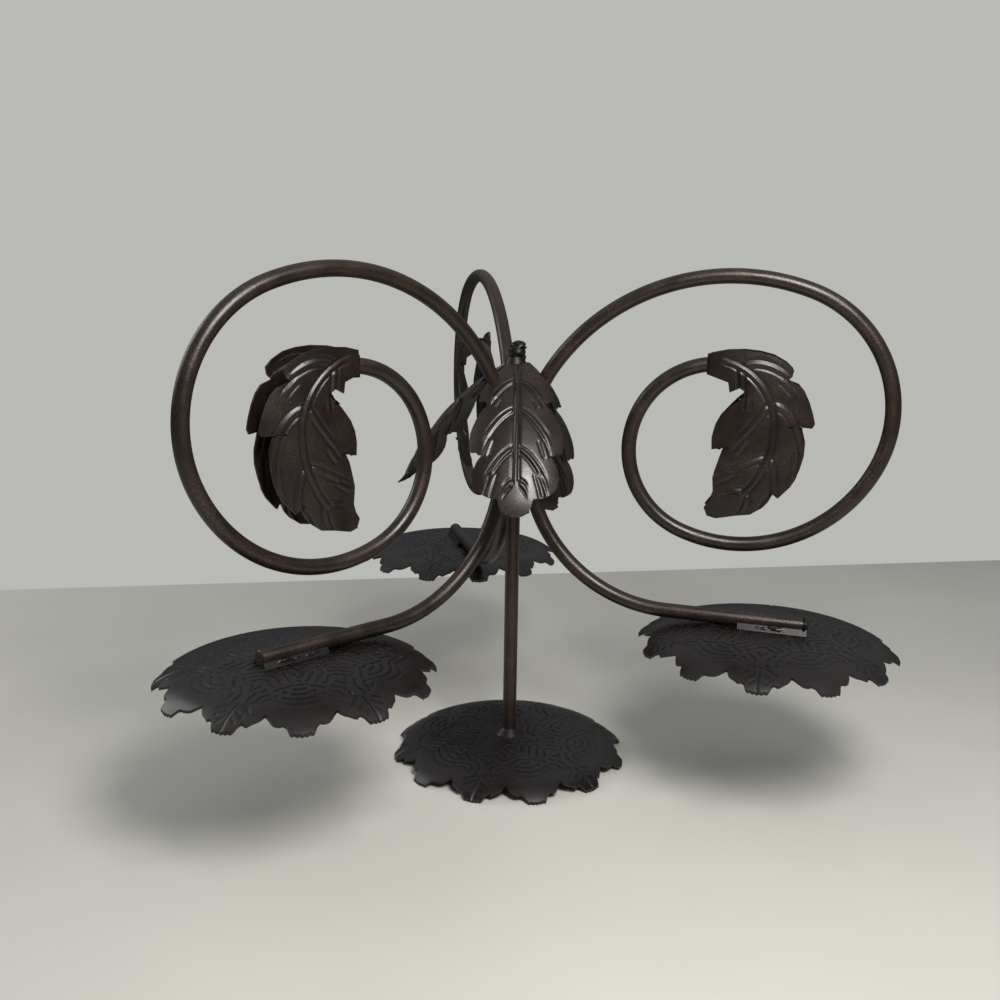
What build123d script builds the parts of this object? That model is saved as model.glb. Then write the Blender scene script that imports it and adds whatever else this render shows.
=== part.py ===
from build123d import *
import os
from math import asin, atan2, cos, degrees, hypot, radians, sin, sqrt

os.makedirs("parts", exist_ok=True)

# A tiered candle stand, as photographed: upside down on its middle dish, with its three scroll feet up.
# +Z is up the post's axis, -Y faces the viewer, and z = 0 is the underside of the middle dish's flat candle seat.
# Lengths are in millimetres, levels are heights above z = 0, and bearings are degrees from +X towards +Y.

# Stock
ROD_DIAMETER = 8.0
SHEET = 1.2

# Post and hub
POST_TOP = 228.7
HUB_GAP = 0.3
HUB_LEVEL = 177.7
HUB_RUN = 8.0

# Arms: bearing of each scroll and of its dish
ARMS = {"left": (224.2, 223.9), "right": (346.8, 342.3), "back": (102.2, 104.8)}
SCROLL_BENDS = ((74, 34), (115, 76), (67, 94), (77, 88), (48, 98), (46, 66))
LOWER_BEND = 81.7
ARM_PAST_DISH = 21.0
ROD_EDGE = 0.5

# Dishes
DISH_REACH = 144.5
SEAT_RADIUS = 25.0
DOME_BEND = 150.0
RIM_START = 55.0
RIM_BEND = 30.0
PETALS = 12
PETAL_TIP_RADIUS = 68.8
PETAL_NOTCH_RADIUS = 59.9
PETAL_SHOULDER_RADIUS = 66.0
PETAL_SIDE_RADIUS = 64.0
PETAL_TIP_HALF_WIDTH = 5.4
PETAL_SHOULDER_HALF_WIDTH = 6.4
PETAL_SIDE_HALF_WIDTH = 12.6
DISH_TURN = 13.5
SEAT_GAP = 0.2

# Hub leaf outline: distance from the neck along the midrib, and half width there
HUB_LEAF_HALF = (
    (0, 5.5),
    (8, 12.0),
    (16, 17.5),
    (27, 20.5),
    (27.6, 17.6),
    (29.8, 14.8),
    (34, 18.4),
    (44, 23.4),
    (52, 25.0),
    (59, 24.0),
    (59.6, 21.2),
    (62, 17.8),
    (66, 20.8),
    (74, 22.6),
    (81, 20.0),
    (85.4, 14.0),
    (86.3, 9.6),
    (91, 8.4),
    (95, 6.0),
)
HUB_LEAF_LENGTH = 98.0

# Scroll leaf outline beside the right arm: radius and level of its points, over the top and back
SCROLL_LEAF_OUTLINE = (
    (106.0, 229.8),
    (115.0, 231.6),
    (124.0, 232.0),
    (139.0, 229.5),
    (149.1, 222.7),
    (146.0, 216.9),
    (152.4, 214.5),
    (157.9, 206.4),
    (161.5, 194.9),
    (154.9, 194.0),
    (157.2, 185.6),
    (155.5, 171.0),
    (151.2, 161.4),
    (145.2, 155.0),
    (142.5, 157.5),
    (137.3, 149.5),
    (131.7, 145.7),
    (124.0, 144.5),
    (113.6, 142.0),
    (108.9, 143.0),
    (107.0, 147.5),
    (111.5, 155.6),
    (110.8, 164.4),
    (113.2, 172.6),
    (117.0, 181.1),
    (109.5, 179.4),
    (109.2, 185.8),
    (113.1, 196.7),
    (119.0, 203.5),
    (125.0, 208.7),
    (122.4, 212.5),
    (117.2, 210.0),
    (116.2, 215.2),
    (106.0, 218.5),
)

# Hub leaves: bearing of the neck, bearing of the blade, and how far the blade is swung in
HUB_LEAVES = {"front": (285.0, 269.5, 0.0), "left": (163.0, 163.0, 0.0), "rear": (50.0, 58.0, 21.0)}
HUB_LEAF_LEVEL = 221.7
NECK_GAP = 1.2
HUB_LEAF_SLOPE = 47.5
HUB_LEAF_BEND = 150.0
HUB_LEAF_BEND_TURN = 32.4
HUB_LEAF_FLICK = 28.0
HUB_LEAF_FLICK_TURN = 27.0
HUB_LEAF_BELLY = 45.0

# Scroll leaves, one each side of the rolled end
SCROLL_LEAF_BELLY = 85.0
SCROLL_LEAF_BEND = 900.0
SCROLL_LEAF_CENTRE = 132.0
SCROLL_LEAF_TOP = 235.7
SCROLL_LEAF_BOTTOM = 137.7
SCROLL_LEAF_GAP = 0.15
SCROLL_LEAF_SHIFT = {"left": (4.0, 2.0), "right": (0.0, 0.0), "back": (2.0, 1.0)}

# Weld beads
WELD_TAPER = 0.5
FOOT_WELD_RADIUS = 8.5
FOOT_WELD_HEIGHT = 3.6
SEAT_WELD_LENGTH = 36.0
SEAT_WELD_WIDTH = 12.0
SEAT_WELD_RISE = 3.0
HUB_WELD_RADIUS = 7.4
HUB_WELD_LENGTH = 26.0
NECK_WELD_RADIUS = 7.2
NECK_WELD_LENGTH = 6.0
ROLL_WELD_START = (104.8, 224.0)
ROLL_WELD_RADIUS = 5.4
ROLL_WELD_LENGTH = 8.0

rod_radius = ROD_DIAMETER / 2
arm_offset = ROD_DIAMETER + HUB_GAP


def rim_height(radius, depth):
    """Height, relative to the flat seat, of the dish surface that lies depth below the upper one."""
    dome, rim = DOME_BEND - depth, RIM_BEND - depth
    turned = asin((RIM_START - SEAT_RADIUS) / DOME_BEND)
    start = SEAT_RADIUS + dome * sin(turned)
    centre_out = start - rim * sin(turned)
    centre_up = -depth - dome * (1 - cos(turned)) - rim * cos(turned)
    return centre_up + sqrt(rim**2 - (radius - centre_out) ** 2)


dish_height = -rim_height(PETAL_TIP_RADIUS, SHEET)
lower_run_level = HUB_LEVEL - HUB_RUN - LOWER_BEND
outer_seat_level = lower_run_level - rod_radius - SEAT_GAP


def toward(bearing, radius=1.0, level=0.0):
    """The point at this radius, bearing and level."""
    return Vector(radius * cos(radians(bearing)), radius * sin(radians(bearing)), level)


def upright_plane(bearing, origin=(0, 0, 0)):
    """An upright plane whose x runs out along the bearing and whose y runs up."""
    return Plane(origin=origin, x_dir=toward(bearing), z_dir=toward(bearing - 90))


def save(shape, name):
    """Write one piece and hand it back."""
    export_step(shape, "parts/" + name + ".step")
    return shape


# Post
centre_post = Pos(0, 0, SHEET) * Cylinder(
    rod_radius, POST_TOP - SHEET, align=(Align.CENTER, Align.CENTER, Align.MIN)
)
centre_post = chamfer(centre_post.edges().group_by(Axis.Z)[-1], ROD_EDGE)
save(centre_post, "centre_post")


# Arms
def scroll_edges():
    """The rising arm and its scroll: arcs of falling radius, each tangent to the one before."""
    edges, start, way = [], (arm_offset, HUB_LEVEL), (0, 1)
    for radius, turn in SCROLL_BENDS:
        arc = JernArc(start=start, tangent=way, radius=radius, arc_size=-turn)
        edges.append(arc)
        start, way = arc @ 1, arc % 1
    return edges


def dish_line(scroll_bearing, dish_bearing):
    """Bearing and length of the level line from an arm's hub run to the middle of its dish."""
    line = toward(dish_bearing, DISH_REACH) - toward(scroll_bearing, arm_offset)
    return degrees(atan2(line.Y, line.X)), hypot(line.X, line.Y)


def make_arm(scroll_bearing, dish_bearing):
    """One rod: over the dish, round the lower bend, up beside the post and round the scroll."""
    bearing, reach = dish_line(scroll_bearing, dish_bearing)
    lower_plane = upright_plane(bearing, toward(scroll_bearing, arm_offset))
    bend = JernArc(start=(0, HUB_LEVEL - HUB_RUN), tangent=(0, -1), radius=LOWER_BEND, arc_size=90)
    run = Line(bend @ 1, (reach + ARM_PAST_DISH, lower_run_level))
    hub_run = Line((arm_offset, HUB_LEVEL - HUB_RUN), (arm_offset, HUB_LEVEL))
    scroll_plane = upright_plane(scroll_bearing)
    lower = [lower_plane * edge for edge in (run, bend)]
    upper = [scroll_plane * edge for edge in [hub_run, *scroll_edges()]]
    path = Wire([edge for part in lower + upper for edge in part.edges()])
    section = Plane(origin=path @ 0, z_dir=path % 0) * Circle(rod_radius)
    rod = sweep(section, path=path)
    ends = rod.faces().filter_by(GeomType.PLANE).edges()
    return chamfer(ends, ROD_EDGE)


arms = {side: make_arm(*bearings) for side, bearings in ARMS.items()}
for side, arm in arms.items():
    save(arm, side + "_arm")


# Dishes
def dish_section():
    """Half section of the pressed sheet: flat seat, shallow dome, rim turned down."""
    dome_turn = degrees(asin((RIM_START - SEAT_RADIUS) / DOME_BEND))
    rim_end = asin(sin(radians(dome_turn)) + (PETAL_TIP_RADIUS + SHEET - RIM_START) / RIM_BEND)
    rim_turn = degrees(rim_end) - dome_turn
    sides = []
    for depth in (0, SHEET):
        flat = Line((0, -depth), (SEAT_RADIUS, -depth))
        dome = JernArc(start=flat @ 1, tangent=(1, 0), radius=DOME_BEND - depth, arc_size=-dome_turn)
        rim = JernArc(start=dome @ 1, tangent=dome % 1, radius=RIM_BEND - depth, arc_size=-rim_turn)
        sides.append([flat, dome, rim])
    edge = Line(sides[0][2] @ 1, sides[1][2] @ 1)
    axis = Line((0, 0), (0, -SHEET))
    return Plane.XZ * make_face([*sides[0], edge, *sides[1], axis])


def petal_edges(turn):
    """One petal: a rounded side, a small shoulder and a blunt tip, then the same back."""

    def point(radius, half_width):
        return toward(turn + degrees(asin(half_width / radius)), radius)

    notch = 180 / PETALS
    edges = []
    for side in (-1, 1):
        notch_point = toward(turn + side * notch, PETAL_NOTCH_RADIUS)
        side_point = point(PETAL_SIDE_RADIUS, side * PETAL_SIDE_HALF_WIDTH)
        shoulder = point(PETAL_SHOULDER_RADIUS, side * PETAL_SHOULDER_HALF_WIDTH)
        corner = point(PETAL_TIP_RADIUS - ROD_EDGE, side * PETAL_TIP_HALF_WIDTH)
        edges += [ThreePointArc(notch_point, side_point, shoulder), Line(shoulder, corner)]
    tip = toward(turn, PETAL_TIP_RADIUS)
    return edges + [ThreePointArc(edges[1] @ 1, tip, edges[3] @ 1)]


def make_dish():
    """A dish with its flat seat's upper face at z = 0, petals down."""
    sheet = revolve(dish_section(), axis=Axis.Z)
    outline = [edge for k in range(PETALS) for edge in petal_edges(DISH_TURN + k * 360 / PETALS)]
    blank = extrude(make_face(outline), amount=2 * dish_height, both=True)
    return sheet & blank


dish = make_dish()
dish_places = {"centre": Vector(0, 0, SHEET)}
for side, (_, dish_bearing) in ARMS.items():
    dish_places[side] = toward(dish_bearing, DISH_REACH, outer_seat_level)
dishes = {side: Pos(place) * dish for side, place in dish_places.items()}
for side, piece in dishes.items():
    save(piece, side + "_dish")


# Leaves
def bellied(section, belly, level, half_width):
    """A sheet revolved about a line that runs along x, belly below its own level."""
    axis = Axis((0, 0, level - belly), (1, 0, 0))
    half_turn = degrees(asin(half_width / belly)) + 4
    return revolve(section, axis=axis, revolution_arc=2 * half_turn).rotate(axis, -half_turn)


def hub_leaf_section():
    """Lengthwise section of a hub leaf: one long bend, then the tip flicked out."""
    rise = HUB_LEAF_BEND_TURN / 2
    way = Vector(cos(radians(rise)), sin(radians(rise)))
    sides = []
    for depth in (0, SHEET):
        start = Vector(depth * way.Y, -depth * way.X)
        bend = JernArc(
            start=start, tangent=way, radius=HUB_LEAF_BEND - depth, arc_size=-HUB_LEAF_BEND_TURN
        )
        flick = JernArc(
            start=bend @ 1, tangent=bend % 1, radius=HUB_LEAF_FLICK + depth, arc_size=HUB_LEAF_FLICK_TURN
        )
        sides.append([bend, flick])
    ends = [Line(sides[0][0] @ 0, sides[1][0] @ 0), Line(sides[0][1] @ 1, sides[1][1] @ 1)]
    return Plane.XZ * make_face([*sides[0], *sides[1], *ends])


def make_hub_leaf(neck_bearing, blade_bearing, swing):
    """A leaf hung from the post between two arms, sloping out and down."""
    widest = max(half for _, half in HUB_LEAF_HALF)
    sheet = bellied(hub_leaf_section(), HUB_LEAF_BELLY, 0, widest)
    other_side = [(along, -half) for along, half in reversed(HUB_LEAF_HALF)]
    outline = Polyline(*HUB_LEAF_HALF, (HUB_LEAF_LENGTH, 0), *other_side, close=True)
    leaf = sheet & extrude(make_face(outline), amount=HUB_LEAF_BELLY, both=True)
    slope = radians(HUB_LEAF_SLOPE + swing)
    out = toward(blade_bearing)
    along = out * cos(slope) + Vector(0, 0, -sin(slope))
    face = out * sin(slope) + Vector(0, 0, cos(slope))
    neck = toward(neck_bearing, rod_radius + NECK_GAP, HUB_LEAF_LEVEL)
    leaf = Plane(origin=neck, x_dir=along, z_dir=face) * leaf
    for arm in arms.values():
        leaf = leaf - arm
    return leaf.solids().sort_by(SortBy.VOLUME)[-1]


hub_leaves = {side: make_hub_leaf(*spec) for side, spec in HUB_LEAVES.items()}
for side, leaf in hub_leaves.items():
    save(leaf, side + "_hub_leaf")


def make_scroll_leaf():
    """A leaf beside the rolled end, in the scroll's own plane, hollow towards it."""
    reach = SCROLL_LEAF_CENTRE - SCROLL_LEAF_OUTLINE[0][0]
    base_drop = SCROLL_LEAF_BELLY - sqrt(SCROLL_LEAF_BELLY**2 - reach**2)
    inner = rod_radius + SCROLL_LEAF_GAP + base_drop
    tilt = asin((SCROLL_LEAF_TOP - SCROLL_LEAF_BOTTOM) / 2 / SCROLL_LEAF_BEND)
    arcs = [
        JernArc((0, inner + rise), (cos(tilt), sin(tilt)), SCROLL_LEAF_BEND + rise, -2 * degrees(tilt))
        for rise in (0, SHEET)
    ]
    ends = [Line(arcs[0] @ end, arcs[1] @ end) for end in (0, 1)]
    widest = max(abs(out - SCROLL_LEAF_CENTRE) for out, _ in SCROLL_LEAF_OUTLINE)
    sheet = bellied(Plane.XZ * make_face([*arcs, *ends]), SCROLL_LEAF_BELLY, inner, widest)
    standing = Plane(origin=(SCROLL_LEAF_CENTRE, SCROLL_LEAF_TOP, 0), x_dir=(0, -1, 0), z_dir=(0, 0, 1))
    outline = make_face(Polyline(*SCROLL_LEAF_OUTLINE, close=True))
    return (standing * sheet) & extrude(outline, amount=SCROLL_LEAF_BELLY)


scroll_leaf = make_scroll_leaf()
scroll_leaves = {}
for side, (scroll_bearing, _) in ARMS.items():
    plane = upright_plane(scroll_bearing, toward(scroll_bearing, *SCROLL_LEAF_SHIFT[side]))
    front = plane * scroll_leaf
    rear = plane * mirror(scroll_leaf, about=Plane.XY)
    scroll_leaves[side] = {"front": front, "rear": rear}
    for face, leaf in scroll_leaves[side].items():
        save(leaf, side + "_scroll_leaf_" + face)


# Weld beads
def round_bead(low_radius, high_radius, height, level):
    """A bead round the post, from this level up."""
    bead = Cone(low_radius, high_radius, height, align=(Align.CENTER, Align.CENTER, Align.MIN))
    return Pos(0, 0, level) * bead


def cut_from(bead, pieces):
    """The bead with the pieces that it joins taken out of it."""
    for piece in pieces:
        bead = bead - piece
    return bead


foot_weld = round_bead(FOOT_WELD_RADIUS, rod_radius + WELD_TAPER, FOOT_WELD_HEIGHT, SHEET)
save(foot_weld - centre_post, "post_foot_weld")

hub_middle = HUB_LEVEL - HUB_RUN / 2
hub_weld = round_bead(
    HUB_WELD_RADIUS, HUB_WELD_RADIUS - WELD_TAPER, HUB_WELD_LENGTH, hub_middle - HUB_WELD_LENGTH / 2
)
save(cut_from(hub_weld, [centre_post, *arms.values()]), "hub_weld")

neck_weld = round_bead(
    NECK_WELD_RADIUS, rod_radius + WELD_TAPER, NECK_WELD_LENGTH, HUB_LEAF_LEVEL - NECK_WELD_LENGTH / 2
)
save(cut_from(neck_weld, [centre_post, *arms.values(), *hub_leaves.values()]), "leaf_neck_weld")


def make_seat_weld(side):
    """The bead that fills under an arm where it lies on its dish, flush with the arm's end."""
    bearing, reach = dish_line(*ARMS[side])
    half, top = SEAT_WELD_WIDTH / 2, outer_seat_level + SEAT_WELD_RISE
    section = Polyline(
        (-half, outer_seat_level), (half, outer_seat_level), (rod_radius, top), (-rod_radius, top), close=True
    )
    end = toward(ARMS[side][0], arm_offset) + toward(bearing, reach + ARM_PAST_DISH)
    across = Plane(origin=end, x_dir=toward(bearing - 90), z_dir=toward(bearing + 180))
    bead = extrude(across * make_face(section), amount=SEAT_WELD_LENGTH)
    return bead - arms[side]


def make_roll_weld(side):
    """The bead round the rolled end, between its two leaves."""
    plane = upright_plane(ARMS[side][0])
    inner = rod_radius + SCROLL_LEAF_GAP + SHEET / 2
    start, level = ROLL_WELD_START
    middle = (Align.MIN, Align.CENTER, Align.CENTER)
    block = Box(ROLL_WELD_LENGTH, 2 * ROLL_WELD_RADIUS, 2 * inner, align=middle)
    bead = plane * Pos(start + SCROLL_LEAF_SHIFT[side][0], level, 0) * block
    return cut_from(bead, [arms[side], *scroll_leaves[side].values()])


for side in ARMS:
    save(make_seat_weld(side), side + "_seat_weld")
    save(make_roll_weld(side), side + "_roll_weld")
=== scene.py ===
from math import asin, atan2, cos, degrees, hypot, pi, radians, sin, sqrt

import bpy
import numpy as np
from mathutils import Matrix, Vector


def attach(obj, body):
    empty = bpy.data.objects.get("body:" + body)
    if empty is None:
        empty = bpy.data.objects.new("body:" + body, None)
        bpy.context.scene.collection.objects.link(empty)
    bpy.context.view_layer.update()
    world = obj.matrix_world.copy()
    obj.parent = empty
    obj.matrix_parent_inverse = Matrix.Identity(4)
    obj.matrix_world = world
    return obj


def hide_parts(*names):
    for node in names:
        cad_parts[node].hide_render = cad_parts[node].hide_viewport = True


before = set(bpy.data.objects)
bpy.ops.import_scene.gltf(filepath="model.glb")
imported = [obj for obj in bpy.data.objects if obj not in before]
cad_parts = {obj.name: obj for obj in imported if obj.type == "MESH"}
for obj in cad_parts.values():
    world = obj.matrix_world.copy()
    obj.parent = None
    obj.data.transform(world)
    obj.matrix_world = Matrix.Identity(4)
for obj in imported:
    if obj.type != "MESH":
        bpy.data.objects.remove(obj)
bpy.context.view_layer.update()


# Camera: a phone held about 57 cm in front of the post, looking slightly down. Its place, turn and lens were
# found from the petals, the scrolls and the rod ends together. Lengths are in millimetres until they meet MM.
MM = 0.001
CAMERA_PLACE = (0.0, -571.4, 261.3)
CAMERA_DOWN, CAMERA_YAW, CAMERA_ROLL = radians(11.681), radians(-0.757), radians(0.855)
CAMERA_LENS = 36.74

ahead = Vector((sin(CAMERA_YAW) * cos(CAMERA_DOWN), cos(CAMERA_YAW) * cos(CAMERA_DOWN), -sin(CAMERA_DOWN)))
level_right = Vector((cos(CAMERA_YAW), -sin(CAMERA_YAW), 0))
level_up = level_right.cross(ahead)
right = cos(CAMERA_ROLL) * level_right + sin(CAMERA_ROLL) * level_up
up = -sin(CAMERA_ROLL) * level_right + cos(CAMERA_ROLL) * level_up
camera = bpy.data.objects.new("camera", bpy.data.cameras.new("camera"))
camera_turn = Matrix((right, up, -ahead)).transposed().to_4x4()
camera.matrix_world = Matrix.Translation(Vector(CAMERA_PLACE) * MM) @ camera_turn
camera.data.lens = CAMERA_LENS
camera.data.sensor_width = 36
camera.data.clip_start = 0.01
bpy.context.scene.collection.objects.link(camera)
bpy.context.scene.camera = camera
bpy.context.scene.view_settings.view_transform = "Standard"


# Surroundings: a pale floor that ends a little way behind the stand, pale air beyond it, and soft lamps.
# The air lights the stand softly from above and hardly at all from the horizon.
FLOOR_LEVEL = -10.35
FLOOR_BACK, FLOOR_BACK_LEAN = 385.0, 0.177
FLOOR_FRONT, FLOOR_HALF_WIDTH = -1600.0, 1500.0
FLOOR_COLOUR = (0.61, 0.595, 0.53)
AIR_COLOUR = (0.49, 0.49, 0.465)
AIR_TINT = (0.93, 0.95, 1.0)
AIR_LIGHT_LOW, AIR_LIGHT_HIGH = 0.06, 0.52
HORIZON = 0.05
LAMPS = {
    "main_lamp": ((150, -400, 490), (0, 0, 40), 200, 3.2),
    "left_lamp": ((-900, 200, 600), (0, 0, 120), 500, 2.2),
}


def new_mesh_object(name, points, faces):
    """A mesh object made from an array of points in metres and an array of faces."""
    mesh = bpy.data.meshes.new(name)
    mesh.from_pydata(points, [], faces)
    mesh.validate()
    mesh.update()
    piece = bpy.data.objects.new(name, mesh)
    bpy.context.scene.collection.objects.link(piece)
    return piece


def node_material(name):
    """An empty node material with its shader: gives the material, a maker of nodes and a maker of links."""
    material = bpy.data.materials.new(name)
    material.use_nodes = True
    tree = material.node_tree
    shader = tree.nodes["Principled BSDF"]

    def add(kind, **inputs):
        node = tree.nodes.new(kind)
        for key, value in inputs.items():
            node.inputs[key.replace("_", " ")].default_value = value
        return node

    return material, shader, add, tree.links.new


def floor_material():
    """Pale sheet with soft wide stains: base colour = the floor colour times a slow noise."""
    material, shader, add, link = node_material("floor")
    place = add("ShaderNodeTexCoord")
    stains = add("ShaderNodeTexNoise", Scale=5.0, Detail=4.0)
    ramp = add("ShaderNodeValToRGB")
    ramp.color_ramp.elements[0].position = 0.3
    ramp.color_ramp.elements[1].position = 0.75
    ramp.color_ramp.elements[0].color = (*[0.94 * c for c in FLOOR_COLOUR], 1)
    ramp.color_ramp.elements[1].color = (*[1.04 * c for c in FLOOR_COLOUR], 1)
    link(place.outputs["Object"], stains.inputs["Vector"])
    link(stains.outputs["Fac"], ramp.inputs["Fac"])
    link(ramp.outputs["Color"], shader.inputs["Base Color"])
    shader.inputs["Roughness"].default_value = 0.55
    return material


floor_corners = [
    (-FLOOR_HALF_WIDTH, FLOOR_FRONT),
    (FLOOR_HALF_WIDTH, FLOOR_FRONT),
    (FLOOR_HALF_WIDTH, FLOOR_BACK + FLOOR_BACK_LEAN * FLOOR_HALF_WIDTH),
    (-FLOOR_HALF_WIDTH, FLOOR_BACK - FLOOR_BACK_LEAN * FLOOR_HALF_WIDTH),
]
floor_points = [(x * MM, y * MM, FLOOR_LEVEL * MM) for x, y in floor_corners]
floor = new_mesh_object("floor", floor_points, [(0, 1, 2, 3)])
floor.data.materials.append(floor_material())

world = bpy.data.worlds.new("air")
bpy.context.scene.world = world
world.use_nodes = True
seen = world.node_tree.nodes["Background"]
seen.inputs["Color"].default_value = (*AIR_COLOUR, 1)
lighting = world.node_tree.nodes.new("ShaderNodeBackground")
lighting.inputs["Color"].default_value = (*AIR_TINT, 1)
direction = world.node_tree.nodes.new("ShaderNodeTexCoord")
upness = world.node_tree.nodes.new("ShaderNodeSeparateXYZ")
overhead = world.node_tree.nodes.new("ShaderNodeMapRange")
overhead.inputs["From Min"].default_value = HORIZON
overhead.inputs["To Min"].default_value = AIR_LIGHT_LOW
overhead.inputs["To Max"].default_value = AIR_LIGHT_HIGH
world.node_tree.links.new(direction.outputs["Generated"], upness.inputs[0])
world.node_tree.links.new(upness.outputs["Z"], overhead.inputs["Value"])
world.node_tree.links.new(overhead.outputs["Result"], lighting.inputs["Strength"])
rays = world.node_tree.nodes.new("ShaderNodeLightPath")
choose = world.node_tree.nodes.new("ShaderNodeMixShader")
world.node_tree.links.new(rays.outputs["Is Camera Ray"], choose.inputs[0])
world.node_tree.links.new(lighting.outputs[0], choose.inputs[1])
world.node_tree.links.new(seen.outputs[0], choose.inputs[2])
world.node_tree.links.new(choose.outputs[0], world.node_tree.nodes["World Output"].inputs["Surface"])

for lamp_name, (place, aim, width, power) in LAMPS.items():
    lamp = bpy.data.objects.new(lamp_name, bpy.data.lights.new(lamp_name, "AREA"))
    lamp.data.shape = "SQUARE"
    lamp.data.size = width * MM
    lamp.data.energy = power
    lamp.location = Vector(place) * MM
    lamp.rotation_euler = (Vector(aim) - Vector(place)).to_track_quat("-Z", "Y").to_euler()
    bpy.context.scene.collection.objects.link(lamp)


# Powder coat: every piece wears the same fired coat, bronze-black with fine copper and gold flecks. It differs
# from piece to piece in colour, shine and how many flecks show, and painted shade darkens it in stamped lines.
FLECK_SIZE = 0.42
ORANGE_PEEL_SIZE = 0.9
WEAR_SIZE = 14.0
FLECK_SOFTNESS = 0.16
# Painted shade: the colour in the deepest stamped lines is this share of the base colour.
GROOVE_SHADE = 0.12
PEEL_DEPTH, GRAIN_DEPTH, GRAIN_SHARE = 0.25, 0.12, 0.8


def powder_coat(name, base, fleck, fleck_start, roughness, peel, shine_level, shade_stamped_lines=False):
    """Colour = base with flecks past fleck_start, and painted shade in stamped lines if asked; height = two
    noises times peel.
    """
    material, shader, add, link = node_material(name)
    shader.inputs["Specular IOR Level"].default_value = shine_level
    place = add("ShaderNodeTexCoord")
    flecks = add("ShaderNodeTexNoise", Scale=1 / (FLECK_SIZE * MM), Detail=2.0, Roughness=0.7)
    patches = add("ShaderNodeTexNoise", Scale=1 / (WEAR_SIZE * MM), Detail=3.0)
    skin = add("ShaderNodeTexNoise", Scale=1 / (ORANGE_PEEL_SIZE * MM), Detail=3.0)
    for noise in (flecks, patches, skin):
        link(place.outputs["Object"], noise.inputs["Vector"])
    spots = add("ShaderNodeMapRange", From_Min=fleck_start, From_Max=fleck_start + FLECK_SOFTNESS)
    link(flecks.outputs["Fac"], spots.inputs["Value"])
    patchy = add("ShaderNodeMapRange", From_Min=0.32, From_Max=0.68, To_Min=0.25, To_Max=1.0)
    link(patches.outputs["Fac"], patchy.inputs["Value"])
    amount = add("ShaderNodeMath")
    amount.operation = "MULTIPLY"
    link(spots.outputs["Result"], amount.inputs[0])
    link(patchy.outputs["Result"], amount.inputs[1])
    colour = add("ShaderNodeMix")
    colour.data_type = "RGBA"
    colour.inputs["A"].default_value = (*base, 1)
    colour.inputs["B"].default_value = (*fleck, 1)
    link(amount.outputs["Value"], colour.inputs["Factor"])
    finished = colour.outputs["Result"]
    # Painted shade: where the groove attribute is high, the colour is mixed toward GROOVE_SHADE times the base.
    if shade_stamped_lines:
        depth = add("ShaderNodeAttribute")
        depth.attribute_name = "groove"
        painted_line_shade_mix = add("ShaderNodeMix")
        painted_line_shade_mix.data_type = "RGBA"
        painted_line_shade_mix.inputs["B"].default_value = (*[GROOVE_SHADE * c for c in base], 1)
        link(depth.outputs["Fac"], painted_line_shade_mix.inputs["Factor"])
        link(finished, painted_line_shade_mix.inputs["A"])
        finished = painted_line_shade_mix.outputs["Result"]
    link(finished, shader.inputs["Base Color"])
    smoothest, roughest = roughness - 0.07, roughness + 0.09
    shine = add("ShaderNodeMapRange", From_Min=0.3, From_Max=0.7, To_Min=smoothest, To_Max=roughest)
    link(patches.outputs["Fac"], shine.inputs["Value"])
    link(shine.outputs["Result"], shader.inputs["Roughness"])
    link(spots.outputs["Result"], shader.inputs["Metallic"])
    bump = add("ShaderNodeBump", Strength=peel, Distance=PEEL_DEPTH * MM)
    link(skin.outputs["Fac"], bump.inputs["Height"])
    grain = add("ShaderNodeBump", Strength=peel * GRAIN_SHARE, Distance=GRAIN_DEPTH * MM)
    link(flecks.outputs["Fac"], grain.inputs["Height"])
    link(bump.outputs["Normal"], grain.inputs["Normal"])
    link(grain.outputs["Normal"], shader.inputs["Normal"])
    return material


def dress(piece, material, slot, *nodes):
    """Coat a new piece, let it ride on the stand and let it stand for these nodes."""
    piece.data.materials.append(material)
    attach(piece, "root")
    if nodes:
        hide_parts(*nodes)


# Rods: the post and three arms, all 8 mm round rod, cold bent and sawn off square. Each arm lies over its dish,
# bends up beside the post and rolls over into a scroll.
ROD_RADIUS = 4.0
ROD_EDGE = 0.5
SHEET = 1.2
POST_TOP = 228.7
HUB_OFFSET = 8.3
HUB_LEVEL, HUB_RUN = 177.7, 8.0
LOWER_BEND = 81.7
ARM_PAST_DISH = 21.0
DISH_REACH = 144.5
ARMS = {"left": (224.2, 223.9), "right": (346.8, 342.3), "back": (102.2, 104.8)}
SCROLL_BENDS = ((74, 34), (115, 76), (67, 94), (77, 88), (48, 98), (46, 66))
ROD_STEP = 1.6
ROD_SIDES = 48
LOWER_RUN_LEVEL = HUB_LEVEL - HUB_RUN - LOWER_BEND


def toward(bearing, radius=1.0, level=0.0):
    """The point at this radius, bearing in degrees and level."""
    return np.array([radius * cos(radians(bearing)), radius * sin(radians(bearing)), level])


def arc_points(start, heading, radius, turn, steps):
    """Points of an arc in a plane: it starts at a heading and turns left, or right where turn is negative."""
    side = 1 if turn > 0 else -1
    angles = radians(heading) + radians(turn) * np.linspace(0, 1, steps)
    centre = np.array(start) + side * radius * np.array([-sin(radians(heading)), cos(radians(heading))])
    return centre + side * radius * np.stack([np.sin(angles), -np.cos(angles)], axis=1)


def planar_path(start, heading, bends):
    """Tangent arcs one after another; a bend of radius 0 is a straight run as long as its turn says."""
    pieces, here = [np.array([start], float)], np.array(start, float)
    for radius, turn in bends:
        if radius:
            steps = max(4, int(radius * radians(abs(turn)) / ROD_STEP))
            points = arc_points(here, heading, radius, turn, steps)
            heading += turn
        else:
            way = np.array([cos(radians(heading)), sin(radians(heading))])
            points = here + np.linspace(0, 1, max(3, int(turn / ROD_STEP)))[:, None] * turn * way
        pieces.append(points[1:])
        here = points[-1]
    return np.concatenate(pieces)


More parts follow.
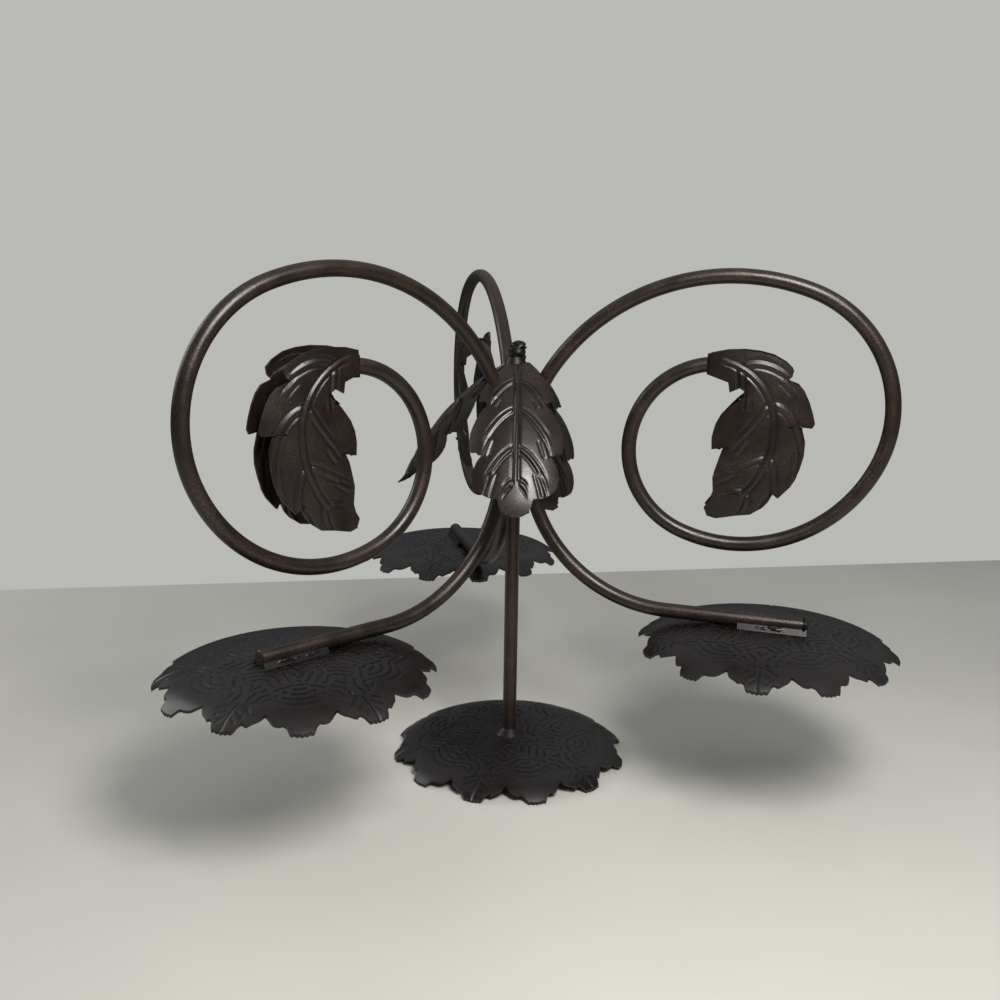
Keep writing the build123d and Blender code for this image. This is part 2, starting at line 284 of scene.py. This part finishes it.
def rod_surface(line, side, radius, edge):
    """A round rod: circles of the radius square to the line, smaller at both ends, and last a pinhole circle
    of 0.01 mm in the middle of each end face."""
    way = np.gradient(line, axis=0)
    way /= np.linalg.norm(way, axis=1)[:, None]
    lift = np.cross(side, way)
    lift /= np.linalg.norm(lift, axis=1)[:, None]
    across = np.cross(way, lift)
    starts = line[0] + way[0] * np.array([[0.0], [0.0], [edge]])
    ends = line[-1] - way[-1] * np.array([[edge], [0.0], [0.0]])
    inner = (line[1:-1], across[1:-1], lift[1:-1])
    centres = np.concatenate([starts, inner[0], ends])
    sideways = np.concatenate([np.repeat(across[:1], 3, 0), inner[1], np.repeat(across[-1:], 3, 0)])
    upward = np.concatenate([np.repeat(lift[:1], 3, 0), inner[2], np.repeat(lift[-1:], 3, 0)])
    size = np.full(len(centres), radius)
    size[[0, -1]] = 0.01
    size[[1, -2]] = radius - edge
    angle = np.linspace(0, 2 * pi, ROD_SIDES, endpoint=False)[None, :, None]
    ring = np.cos(angle) * sideways[:, None] + np.sin(angle) * upward[:, None]
    return centres[:, None] + size[:, None, None] * ring


def closed_grid_faces(rows, columns):
    """Faces of a grid whose columns close into a ring."""
    here = np.arange(rows * columns).reshape(rows, columns)
    there = np.roll(here, -1, axis=1)
    return np.stack([here[:-1], there[:-1], there[1:], here[1:]], axis=-1).reshape(-1, 4)


def outward(points, faces):
    """The faces, turned round if they enclose a negative volume."""
    a, b, c = points[faces[:, 0]], points[faces[:, 1]], points[faces[:, 2]]
    d = points[faces[:, 3]]
    volume = (a * np.cross(b, c)).sum() + (a * np.cross(c, d)).sum()
    return faces if volume > 0 else faces[:, ::-1]


def smooth_mesh(name, points, faces, angle=35):
    """A new smooth-shaded piece, in metres, whose edges sharper than the angle stay crisp."""
    piece = new_mesh_object(name, (points * MM).tolist(), outward(points, faces).tolist())
    piece.data.polygons.foreach_set("use_smooth", np.ones(len(piece.data.polygons), bool))
    piece.data.set_sharp_from_angle(angle=radians(angle))
    return piece


def make_rod(name, line, side):
    """One rod along a line of points."""
    grid = rod_surface(line, side, ROD_RADIUS, ROD_EDGE)
    return smooth_mesh(name, grid.reshape(-1, 3), closed_grid_faces(*grid.shape[:2]))


rod_coat = powder_coat(
    "rod_coat", base=(0.009, 0.0055, 0.004), fleck=(0.32, 0.16, 0.08),
    fleck_start=0.555, roughness=0.34, peel=0.25, shine_level=0.5,
)
arm_ends = {}
for arm_side, (scroll_bearing, dish_bearing) in ARMS.items():
    hub = toward(scroll_bearing, HUB_OFFSET)
    line = toward(dish_bearing, DISH_REACH) - hub
    run_bearing, reach = degrees(atan2(line[1], line[0])), hypot(line[0], line[1])
    low_bends = [(LOWER_BEND, 90), (0, reach + ARM_PAST_DISH - LOWER_BEND)]
    high_bends = [(0, HUB_RUN)] + [(r, -t) for r, t in SCROLL_BENDS]
    low = planar_path((0, HUB_LEVEL - HUB_RUN), -90, low_bends)
    high = planar_path((HUB_OFFSET, HUB_LEVEL - HUB_RUN), 90, high_bends)
    low_3d = hub + low[:, :1] * toward(run_bearing) + low[:, 1:] * np.array([0, 0, 1.0])
    high_3d = high[:, :1] * toward(scroll_bearing) + high[:, 1:] * np.array([0, 0, 1.0])
    whole = np.concatenate([low_3d[::-1], high_3d[1:]])
    square = np.concatenate([
        np.repeat(toward(run_bearing - 90)[None], len(low_3d), 0),
        np.repeat(toward(scroll_bearing - 90)[None], len(high_3d) - 1, 0),
    ])
    arm_ends[arm_side] = (low_3d[-1], toward(run_bearing))
    dress(make_rod(arm_side + "_arm_rod", whole, square), rod_coat, "rod_coat", arm_side + "_arm")

post_line = np.linspace((0, 0, SHEET), (0, 0, POST_TOP), 60)
dress(make_rod("post_rod", post_line, np.array([[1.0, 0, 0]])), rod_coat, "rod_coat", "centre_post")


# Dishes: four pressed discs of 1.2 mm sheet, alike, each with twelve leaf-shaped petals turned down. Fine
# winding lines are stamped all over the dome, every second petal is veined, and those between are plain.
SEAT_RADIUS = 25.0
DOME_BEND, RIM_START, RIM_BEND = 150.0, 55.0, 30.0
PETAL_PITCH, HALF_PITCH = 30, 15
PETAL_OUTLINE = (
    (0, 68.8), (0.9, 68.2), (1.8, 68.7), (2.7, 68.0), (3.9, 68.4), (4.8, 67.4), (5.3, 65.9), (6.2, 64.7),
    (7.4, 64.3), (8.1, 64.9), (9.5, 64.5), (11.0, 63.7), (12.5, 62.6), (13.8, 61.2), (15, 59.7),
)
DISH_TURN = 13.5
DISH_ROUND, DISH_OUT = 720, 100
UNDER_OUT, DISH_POLE = 8, 0.01
LINE_DEPTH = 0.38
LINE_SPACING = 4.3
PATTERN_CELL, PATTERN_CELLS = 0.4, 400
PATTERN_STEPS, PATTERN_PACE, PATTERN_EXCITE = 45, 0.5, 0.5
PATTERN_SEED, PATTERN_NOISE, PATTERN_MARGIN = 7, 0.3, 9
LINE_START, LINE_SOFTNESS = 0.7, 0.5
LINE_FADE_IN, LINE_FADE_OUT = 2.0, 1.5
BARE_MIDDLE = 7.0
PETAL_LINE, PETAL_LINE_CURVE = 53.5, 0.024
ARCH_WIDTH, ARCH_DEPTH = 0.7, 0.7
PETAL_VEIN_WIDTH, PETAL_VEIN_LEAN = 0.55, 0.75
PETAL_VEINS = ((52.5, 2.2, 8.5), (57.0, 1.8, 7.0), (61.5, 1.4, 4.5))
EDGE_WAVE, EDGE_WAVES, EDGE_WAVES_FROM = 0.25, 67, 6


def dome_height(radius, depth):
    """Height of the pressed sheet, relative to its flat seat: flat, then a wide arc, then a tight one."""
    dome, rim = DOME_BEND - depth, RIM_BEND - depth
    turned = asin((RIM_START - SEAT_RADIUS) / DOME_BEND)
    start = SEAT_RADIUS + dome * sin(turned)
    centre_out = start - rim * sin(turned)
    centre_up = -depth - dome * (1 - cos(turned)) - rim * cos(turned)
    shallow = -depth - dome + np.sqrt(dome**2 - np.clip(radius - SEAT_RADIUS, 0, None) ** 2)
    steep = centre_up + np.sqrt(rim**2 - np.clip(radius - centre_out, 0, rim) ** 2)
    return np.where(radius < start, shallow, steep)


def winding_lines():
    """A square field of meandering stripes: waves of one length grown from noise until they fill the plane."""
    wave = 2 * pi / LINE_SPACING
    step = 2 * pi * np.fft.fftfreq(PATTERN_CELLS, PATTERN_CELL)
    squared = (step[:, None] ** 2 + step[None, :] ** 2) / wave**2
    growth = PATTERN_EXCITE - (1 - squared) ** 2
    field = np.random.default_rng(PATTERN_SEED).normal(0, PATTERN_NOISE, (PATTERN_CELLS, PATTERN_CELLS))
    for _ in range(PATTERN_STEPS):
        spectrum = np.fft.fft2(field - PATTERN_PACE * field**3)
        field = np.real(np.fft.ifft2(spectrum / (1 - PATTERN_PACE * growth)))
    return field / field.std()


def stamped(radius, away):
    """Depth of the stamped lines, 0 to 1: the winding field where it is high, an arch that ends it, and the
    midrib and strokes of a veined petal, each a bell across its own line."""
    x = radius * np.cos(np.radians(away)) / PATTERN_CELL + PATTERN_MARGIN
    y = radius * np.sin(np.radians(away)) / PATTERN_CELL + PATTERN_MARGIN
    column, row = x.astype(int), y.astype(int)
    u, v = x - column, y - row
    field = winding_lines()
    value = (
        field[row, column] * (1 - u) * (1 - v)
        + field[row, column + 1] * u * (1 - v)
        + field[row + 1, column] * (1 - u) * v
        + field[row + 1, column + 1] * u * v
    )
    lines = np.clip((value - LINE_START) / LINE_SOFTNESS, 0, 1)
    from_petal = np.abs((away + HALF_PITCH) % PETAL_PITCH - HALF_PITCH)
    edge_of_dome = PETAL_LINE - PETAL_LINE_CURVE * from_petal**2
    inside_arch = np.clip((edge_of_dome - radius) / LINE_FADE_OUT, 0, 1)
    off_middle = np.clip((radius - BARE_MIDDLE) / LINE_FADE_IN, 0, 1)
    lines = lines * inside_arch * off_middle
    arch = np.exp(-(((radius - edge_of_dome) / ARCH_WIDTH) ** 2)) * ARCH_DEPTH
    across = radius * np.sin(np.radians(away))
    veined = away < HALF_PITCH
    middle = np.exp(-((across / PETAL_VEIN_WIDTH) ** 2)) * (radius > PETAL_LINE)
    strokes = np.zeros_like(radius)
    square_to_stroke = 1 / hypot(1, PETAL_VEIN_LEAN)
    for start, low, high in PETAL_VEINS:
        offset = (radius - start - across * PETAL_VEIN_LEAN) * square_to_stroke
        strokes += np.exp(-((offset / PETAL_VEIN_WIDTH) ** 2)) * (across > low) * (across < high)
    return np.clip(lines + arch + veined * (middle + strokes), 0, 1)


def dish_surface():
    """Both faces of a dish on one polar grid that ends at the petals' outline, and the depth of its lines."""
    turn = np.linspace(0, 360, DISH_ROUND, endpoint=False)
    from_petal = np.abs((turn + HALF_PITCH) % PETAL_PITCH - HALF_PITCH)
    outline = np.interp(from_petal, *np.array(PETAL_OUTLINE).T)
    outline += EDGE_WAVE * np.sin(np.radians(turn) * EDGE_WAVES) * (from_petal > EDGE_WAVES_FROM)
    share = np.linspace(DISH_POLE, 1, DISH_OUT)
    radius = share[:, None] * outline[None, :]
    turned = np.broadcast_to(turn, radius.shape)
    away = np.abs((turned + PETAL_PITCH) % (2 * PETAL_PITCH) - PETAL_PITCH)
    depth = stamped(radius, away)
    top = dome_height(radius, 0) - LINE_DEPTH * depth
    under_radius = np.linspace(1, DISH_POLE, UNDER_OUT)[:, None] * outline[None, :]
    under = dome_height(under_radius, SHEET)
    out = np.concatenate([radius, under_radius])
    height = np.concatenate([top, under])
    bearing = np.radians(turn + DISH_TURN)
    points = np.stack([out * np.cos(bearing), out * np.sin(bearing), height], axis=-1)
    # Depth of the stamped lines on the top face and none on the underside: it sets the coat's painted shade.
    line_shade_depth = np.concatenate([depth, np.zeros_like(under)])
    return points, line_shade_depth


def mark_painted_line_shade(piece, line_shade_depth):
    """Keep the depth of the stamped lines with the mesh, for the coat to paint shade into them."""
    layer = piece.data.attributes.new("groove", "FLOAT", "POINT")
    layer.data.foreach_set("value", line_shade_depth.reshape(-1).astype(np.float32))


dish_coat = powder_coat(
    "dish_coat", base=(0.0055, 0.004, 0.0034), fleck=(0.22, 0.11, 0.055),
    fleck_start=0.60, roughness=0.32, peel=0.22, shine_level=0.5, shade_stamped_lines=True,
)
outer_seat = LOWER_RUN_LEVEL - ROD_RADIUS - 0.2
dish_places = {"centre": np.array([0, 0, SHEET])}
for arm_side, (_, dish_bearing) in ARMS.items():
    dish_places[arm_side] = toward(dish_bearing, DISH_REACH, outer_seat)
dish_points, dish_line_shade = dish_surface()
for dish_side, place in dish_places.items():
    dish_faces = closed_grid_faces(*dish_points.shape[:2])
    dish = smooth_mesh(dish_side + "_dish_sheet", dish_points.reshape(-1, 3) + place, dish_faces)
    mark_painted_line_shade(dish, dish_line_shade)
    dress(dish, dish_coat, "dish_coat", dish_side + "_dish")


# Leaves: nine leaves cut and stamped from 1.2 mm sheet, with a raised midrib and veins between grooves. Three
# straight ones hang from the post, sloping out and down; six curved ones stand in pairs beside the rolled ends.
LEAF_HALF = (
    (0, 5.5), (4, 9.0), (8, 12.0), (12, 15.2), (16, 17.5), (21.5, 19.6), (27, 20.5), (27.6, 17.6),
    (29.2, 16.8), (29.8, 14.8), (32, 16.4), (34, 18.4), (39, 21.4), (44, 23.4), (48, 24.6), (52, 25.0),
    (56, 24.8), (59, 24.0), (59.6, 21.2), (61.3, 20.2), (62, 17.8), (64, 19.4), (66, 20.8), (70, 22.4),
    (74, 22.6), (78, 21.6), (81, 20.0), (83.5, 17.2), (85.4, 14.0), (86.3, 9.6), (88, 8.8), (91, 8.4),
    (92, 7.4), (94, 7.6), (95, 5.8), (96.5, 4.0),
)
LEAF_LENGTH = 98.0
LEAF_ALONG, LEAF_ACROSS = 240, 90
RIDGE, RIDGE_WIDTH = 0.6, 0.9
GROOVE, GROOVE_WIDTH, GROOVE_OFFSET = 0.6, 0.7, 1.9
FACE_RELIEF, FACE_INSET, BACK_RELIEF = 0.9, 0.15, 0.72
MIDRIB_START, MIDRIB_RISE, MIDRIB_END, MIDRIB_FADE = 4.0, 4.0, 80.0, 3.0
MIDRIB_SQUEEZE = 1.1
VEIN_BEND, VEIN_START, VEIN_FADE, SHORT_VEIN_DEPTH = 1.7, 1.2, 2.0, 0.8
VEINS = ((15, 16, 15), (36, 20, 18), (60, 20, 17), (78, 6, 7))
SHORT_VEINS = ((27, 9.5, 34, 12.5), (53, 13, 64, 16.5), (72, 11, 86, 15))


def leaf_grid():
    """Distance along the midrib and signed distance from it, on a grid of rows square to the midrib."""
    outline = np.array([*LEAF_HALF, (LEAF_LENGTH, 0)], float)
    run = np.r_[0, np.cumsum(np.hypot(*np.diff(outline, axis=0).T))]
    marks = np.unique(np.r_[np.linspace(0, run[-1], LEAF_ALONG), run])
    edge_along = np.interp(marks, run, outline[:, 0])
    edge_half = np.interp(marks, run, outline[:, 1])
    share = np.linspace(-1, 1, LEAF_ACROSS + 1)
    along = np.broadcast_to(edge_along[:, None], (len(marks), len(share)))
    half = edge_half[:, None] * share
    return along, half


def vein_profile(distance):
    """Height across a vein: a rounded ridge with a groove on each side of it."""
    ridge = RIDGE * np.exp(-((distance / RIDGE_WIDTH) ** 2))
    groove = GROOVE * np.exp(-(((np.abs(distance) - GROOVE_OFFSET) / GROOVE_WIDTH) ** 2))
    return ridge - groove


def leaf_relief(along, half):
    """Height of the stamped midrib and veins; each vein leaves the midrib sideways and bends along the leaf."""
    wide = np.abs(half)
    near_tip = np.clip((MIDRIB_END - along) / MIDRIB_FADE, 0, 1)
    near_neck = np.clip((along - MIDRIB_START) / MIDRIB_RISE, 0, 1)
    height = vein_profile(half * MIDRIB_SQUEEZE) * (near_tip * near_neck)
    for start, drop, reach in VEINS:
        line = start + drop * (wide / reach) ** VEIN_BEND
        slope = VEIN_BEND * drop / reach * (wide / reach) ** (VEIN_BEND - 1)
        distance = (along - line) / np.sqrt(1 + slope**2)
        ends = np.clip((reach - wide) / VEIN_FADE, 0, 1) * np.clip((wide - VEIN_START) / VEIN_START, 0, 1)
        height += vein_profile(distance) * ends
    for a1, b1, a2, b2 in SHORT_VEINS:
        length = hypot(a2 - a1, b2 - b1)
        way = np.array([a2 - a1, b2 - b1]) / length
        run = (along - a1) * way[0] + (wide - b1) * way[1]
        off = (along - a1) * -way[1] + (wide - b1) * way[0]
        ends = np.clip(run / VEIN_FADE, 0, 1) * np.clip((length - run) / VEIN_FADE, 0, 1)
        height += SHORT_VEIN_DEPTH * vein_profile(off) * ends
    return np.clip(height, -GROOVE, RIDGE)


def face_normals(points):
    """Unit normals of a grid of points, from its two directions."""
    normal = np.cross(np.gradient(points, axis=0), np.gradient(points, axis=1))
    return normal / np.maximum(np.linalg.norm(normal, axis=-1), 1e-9)[..., None]


def sheet_leaf(name, outer, height, toward_back):
    """A closed leaf: the outer face carries the stamped height, and the inner face follows one sheet behind it.
    """
    normal = face_normals(outer)
    normal *= np.sign((normal * -toward_back).sum(-1).mean())
    face = outer + normal * (FACE_RELIEF * height[..., None] - FACE_INSET)
    back = outer - normal * (SHEET - BACK_RELIEF * height[..., None])
    rows, columns = height.shape
    loop = np.concatenate([face, back[:, ::-1]], axis=1)
    faces = closed_grid_faces(rows, 2 * columns)
    count = rows * 2 * columns
    here = np.arange(count).reshape(rows, 2 * columns)
    caps = []
    for row in (0, rows - 1):
        ring, under = here[row], here[row][::-1]
        corners = [ring[: columns - 1], ring[1:columns], under[1:columns], under[: columns - 1]]
        caps.append(np.stack(corners, axis=-1))
    start_cap, end_cap = caps
    faces = np.concatenate([faces, start_cap[:, ::-1], end_cap])
    points = loop.reshape(-1, 3)
    piece = smooth_mesh(name, points, faces, 50)
    # Painted shade: the face is darkened in its sunken grooves, the more the deeper; the back face gets none.
    painted_shade_in_grooves = np.clip(-height / GROOVE, 0, 1) ** 1.5
    mark_painted_line_shade(piece, np.concatenate([painted_shade_in_grooves, painted_shade_in_grooves[:, ::-1] * 0], axis=1))
    return piece


HUB_LEAVES = {"front": (285.0, 269.5, 0.0), "left": (163.0, 163.0, 0.0), "rear": (50.0, 58.0, 21.0)}
HUB_LEAF_LEVEL = 221.7
NECK_GAP = 1.2
HUB_LEAF_SLOPE = 47.5
HUB_LEAF_BEND, HUB_LEAF_RISE = 150.0, 16.2
HUB_LEAF_FLICK = 28.0
HUB_LEAF_BELLY = 45.0
HUB_LEAF_END = 96.7


def hub_leaf_height(along, half):
    """Height of a hub leaf over its plane: a long hump and a flicked tip, bellied sideways round an axis."""
    hump_end = 2 * HUB_LEAF_BEND * sin(radians(HUB_LEAF_RISE))
    chord_down = HUB_LEAF_BEND * cos(radians(HUB_LEAF_RISE))
    hump = np.sqrt(HUB_LEAF_BEND**2 - (along - hump_end / 2) ** 2) - chord_down
    flick_centre = hump_end + HUB_LEAF_FLICK * sin(radians(HUB_LEAF_RISE))
    flick_up = HUB_LEAF_FLICK * cos(radians(HUB_LEAF_RISE))
    flick = flick_up - np.sqrt(HUB_LEAF_FLICK**2 - np.clip(along - flick_centre, -20, 20) ** 2)
    line = np.where(along < hump_end, hump, flick)
    return np.sqrt((line + HUB_LEAF_BELLY) ** 2 - half**2) - HUB_LEAF_BELLY


leaf_coat = powder_coat(
    "leaf_coat", base=(0.008, 0.0045, 0.0035), fleck=(0.28, 0.14, 0.075),
    fleck_start=0.575, roughness=0.33, peel=0.24, shine_level=0.5, shade_stamped_lines=True,
)
grid_along, grid_half = leaf_grid()
leaf_height = leaf_relief(grid_along, grid_half)
for leaf_side, (neck_bearing, blade_bearing, swing) in HUB_LEAVES.items():
    slope = radians(HUB_LEAF_SLOPE + swing)
    down_leaf = toward(blade_bearing) * cos(slope) + np.array([0, 0, -sin(slope)])
    off_leaf = toward(blade_bearing) * sin(slope) + np.array([0, 0, cos(slope)])
    over_leaf = np.cross(off_leaf, down_leaf)
    clipped = np.clip(grid_along, 0, HUB_LEAF_END)
    lift = hub_leaf_height(clipped, grid_half)
    neck = toward(neck_bearing, ROD_RADIUS + NECK_GAP, HUB_LEAF_LEVEL)
    outer = neck + clipped[..., None] * down_leaf + grid_half[..., None] * over_leaf
    outer = outer + lift[..., None] * off_leaf
    leaf = sheet_leaf(leaf_side + "_hub_leaf_sheet", outer, leaf_height, -off_leaf)
    dress(leaf, leaf_coat, "leaf_coat", leaf_side + "_hub_leaf")

SCROLL_RIB_START = (106.0, 227.0)
SCROLL_RIB_OVER, SCROLL_RIB_DOWN = 35.0, 53.4
SCROLL_LEAF_OUTSIDE = (
    (0, 106, 229.8), (7.5, 115, 231.6), (14, 124, 232), (19, 132, 231.2), (24, 139, 229.5), (29, 145.5, 226),
    (32, 149.1, 222.7), (33.5, 148.4, 219.1), (35, 146, 216.9), (38, 152.4, 214.5), (41, 155.6, 210.9),
    (44, 157.9, 206.4), (48, 160.2, 200), (51, 161.5, 194.9), (52.2, 160.2, 192.5), (53.5, 154.9, 194),
    (58, 157.2, 185.6), (63.5, 157, 178), (69, 155.5, 171), (73, 153.7, 165.8), (76, 151.2, 161.4),
    (81, 145.2, 155), (86.5, 142.5, 157.5), (91, 140.4, 152.8), (95, 137.3, 149.5), (100, 131.7, 145.7),
    (107, 124, 144.5), (114, 113.6, 142), (117, 108.9, 143),
)
SCROLL_LEAF_INSIDE = (
    (0, 106, 218.5), (13, 116.2, 215.2), (19, 117.2, 210), (22, 122.4, 212.5), (24.5, 124.6, 211),
    (27, 125, 208.7), (31, 119, 203.5), (38, 113.1, 196.7), (44, 110.4, 191.5), (50, 109.2, 185.8),
    (59, 109.5, 179.4), (62, 117, 181.1), (70, 114.6, 177), (78, 113.2, 172.6), (90, 110.8, 164.4),
    (101, 111.5, 155.6), (106, 110, 151.5), (112, 107, 147.5), (117, 108.9, 143),
)
SCROLL_LEAF_SHIFT = {"left": (4.0, 2.0), "right": (0.0, 0.0), "back": (2.0, 1.0)}
SCROLL_LEAF_BELLY, SCROLL_LEAF_BEND = 85.0, 900.0
SCROLL_LEAF_CENTRE = 132.0
SCROLL_LEAF_TOP, SCROLL_LEAF_BOTTOM = 235.7, 137.7
SCROLL_LEAF_GAP = 0.15
SCROLL_LEAF_RELIEF = 0.7
SCROLL_LEAF_ROWS = 300


def scroll_midrib(along):
    """Radius and level of the midrib: a quarter turn over and down, then a wider arc back in to the tip."""
    first_run = SCROLL_RIB_OVER * pi / 2
    over = np.minimum(along, first_run) / SCROLL_RIB_OVER
    down = np.maximum(along - first_run, 0) / SCROLL_RIB_DOWN
    out = SCROLL_RIB_START[0] + SCROLL_RIB_OVER * np.sin(over) - SCROLL_RIB_DOWN * (1 - np.cos(down))
    level = SCROLL_RIB_START[1] - SCROLL_RIB_OVER * (1 - np.cos(over)) - SCROLL_RIB_DOWN * np.sin(down)
    return np.stack([out, level], axis=-1)


def scroll_leaf_grid():
    """Radius and level of a grid whose rows run from the inside edge over the midrib to the outside edge."""
    inside, outside = np.array(SCROLL_LEAF_INSIDE), np.array(SCROLL_LEAF_OUTSIDE)
    length = outside[-1, 0]
    marks = np.unique(np.r_[np.linspace(0, length, SCROLL_LEAF_ROWS), inside[:, 0], outside[:, 0]])
    rib = scroll_midrib(marks)[:, None]
    edges = [
        np.stack([np.interp(marks, side[:, 0], side[:, k]) for k in (1, 2)], axis=-1)[:, None]
        for side in (inside, outside)
    ]
    share = np.linspace(-1, 1, LEAF_ACROSS + 1)[None, :, None]
    grid = rib + np.abs(share) * np.where(share < 0, edges[0] - rib, edges[1] - rib)
    return grid[..., 0], grid[..., 1]


def beside_scroll_midrib(out, level):
    """Distance along the midrib and signed distance from it, by angle and radius in each arc's own circle."""
    turn_level = SCROLL_RIB_START[1] - SCROLL_RIB_OVER
    over_out, over_up = out - SCROLL_RIB_START[0], level - turn_level
    down_out = out - (SCROLL_RIB_START[0] + SCROLL_RIB_OVER - SCROLL_RIB_DOWN)
    over = SCROLL_RIB_OVER * np.arctan2(over_out, over_up)
    down = SCROLL_RIB_OVER * pi / 2 + SCROLL_RIB_DOWN * np.arctan2(-over_up, down_out)
    along = np.where(over_up > 0, over, down)
    half_over = np.hypot(over_out, over_up) - SCROLL_RIB_OVER
    half_down = np.hypot(down_out, over_up) - SCROLL_RIB_DOWN
    return along, np.where(over_up > 0, half_over, half_down)


def scroll_leaf_offset(out, level):
    """Distance of a scroll leaf's outer face from the scroll's plane: bellied round an upright axis."""
    reach = SCROLL_LEAF_CENTRE - SCROLL_RIB_START[0]
    inner = ROD_RADIUS + SCROLL_LEAF_GAP + SCROLL_LEAF_BELLY - sqrt(SCROLL_LEAF_BELLY**2 - reach**2)
    half_height = (SCROLL_LEAF_TOP - SCROLL_LEAF_BOTTOM) / 2
    from_middle = level - (SCROLL_LEAF_TOP + SCROLL_LEAF_BOTTOM) / 2
    rise = np.sqrt(SCROLL_LEAF_BEND**2 - from_middle**2) - sqrt(SCROLL_LEAF_BEND**2 - half_height**2)
    across = out - SCROLL_LEAF_CENTRE
    return inner - SCROLL_LEAF_BELLY + np.sqrt((SCROLL_LEAF_BELLY + SHEET + rise) ** 2 - across**2)


leaf_out, leaf_level = scroll_leaf_grid()
leaf_offset = scroll_leaf_offset(leaf_out, leaf_level)
rib_along, rib_half = beside_scroll_midrib(leaf_out, leaf_level)
scroll_height = SCROLL_LEAF_RELIEF * leaf_relief(rib_along * LEAF_LENGTH / SCROLL_LEAF_OUTSIDE[-1][0], rib_half)
for arm_side, (scroll_bearing, _) in ARMS.items():
    shift_out, shift_up = SCROLL_LEAF_SHIFT[arm_side]
    for face_name, sign in (("front", 1), ("rear", -1)):
        away = toward(scroll_bearing - 90) * sign
        rise = (leaf_level + shift_up)[..., None] * np.array([0, 0, 1.0])
        reach = (leaf_out + shift_out)[..., None] * toward(scroll_bearing)
        outer = reach + rise + leaf_offset[..., None] * away
        name = arm_side + "_scroll_leaf_" + face_name
        leaf = sheet_leaf(name + "_sheet", outer, scroll_height, -away)
        dress(leaf, leaf_coat, "leaf_coat", name)


# Welds: rough beads laid by hand at every joint and coated with the rest, so they look glossy and lumpy.
# The plain solids of the beads stay. Lumpy ones are added at the arms' seats, the right arm's end and the
# post's top.
BEAD_LUMPS, BEAD_SIDES = 0.32, 32
SEAT_BEAD_RISE, SEAT_BEAD_ASIDE, SEAT_BEAD_RADIUS = 0.9, 3.4, 1.9
SEAT_BEAD_FROM, SEAT_BEAD_TO = 1.5, 34.0
END_BEAD_RADIUS, TOP_BEAD_RADIUS = 4.5, 4.6
weld_coat = powder_coat(
    "weld_coat", base=(0.005, 0.0038, 0.0032), fleck=(0.14, 0.09, 0.06),
    fleck_start=0.68, roughness=0.33, peel=0.25, shine_level=0.3,
)
for node_name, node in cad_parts.items():
    if node_name.endswith("_weld"):
        node.data.materials.clear()
        node.data.materials.append(weld_coat)


def lumpy_bead(name, line, across, lift, size, seed):
    """A tube along a line that tapers at its ends and swells and shrinks with a few sines of random phase."""
    phases = np.random.default_rng(seed).uniform(0, 2 * pi, (6, 2))
    step = np.linspace(0, 1, len(line))[:, None]
    angle = np.linspace(0, 2 * pi, BEAD_SIDES, endpoint=False)[None, :]
    swell = sum(
        np.sin(2 * pi * (k + 1) * step * 1.7 + p) * np.cos((k % 4 + 1) * angle + q) / (k + 2)
        for k, (p, q) in enumerate(phases)
    )
    taper = np.sqrt(np.clip(1 - (2 * step - 1) ** 4, 0, 1))
    radius = size * (1 + BEAD_LUMPS * swell) * np.maximum(taper, 0.02)
    ring = np.cos(angle)[..., None] * across + np.sin(angle)[..., None] * lift
    points = line[:, None] + radius[..., None] * ring
    piece = smooth_mesh(name, points.reshape(-1, 3), closed_grid_faces(*points.shape[:2]), 60)
    dress(piece, weld_coat, "weld_bead")


upright = np.array([0, 0, 1.0])
for index, (arm_side, (arm_end, way)) in enumerate(arm_ends.items()):
    aside = np.cross(upright, way)
    seat_level = outer_seat + SEAT_BEAD_RISE
    for hand, mark in ((-1, "a"), (1, "b")):
        base = np.array([arm_end[0], arm_end[1], seat_level]) + hand * aside * SEAT_BEAD_ASIDE
        line = base - way * np.linspace(SEAT_BEAD_FROM, SEAT_BEAD_TO, 40)[:, None]
        seed = 10 * index + hand + 1
        lumpy_bead(f"{arm_side}_seat_bead_{mark}", line, aside, upright, SEAT_BEAD_RADIUS, seed)
right_end, right_way = arm_ends["right"]
right_aside = np.cross(upright, right_way)
end_line = right_end - right_way * np.linspace(-0.4, 3.4, 14)[:, None] - upright * 0.3
lumpy_bead("right_end_bead", end_line, right_aside, upright, END_BEAD_RADIUS, 31)
top_line = np.linspace((0.4, -0.4, POST_TOP - 9), (1.4, -0.6, POST_TOP + 5), 24)
lumpy_bead("post_top_bead", top_line, np.array([1.0, 0, 0]), np.array([0, 1.0, 0]), TOP_BEAD_RADIUS, 5)
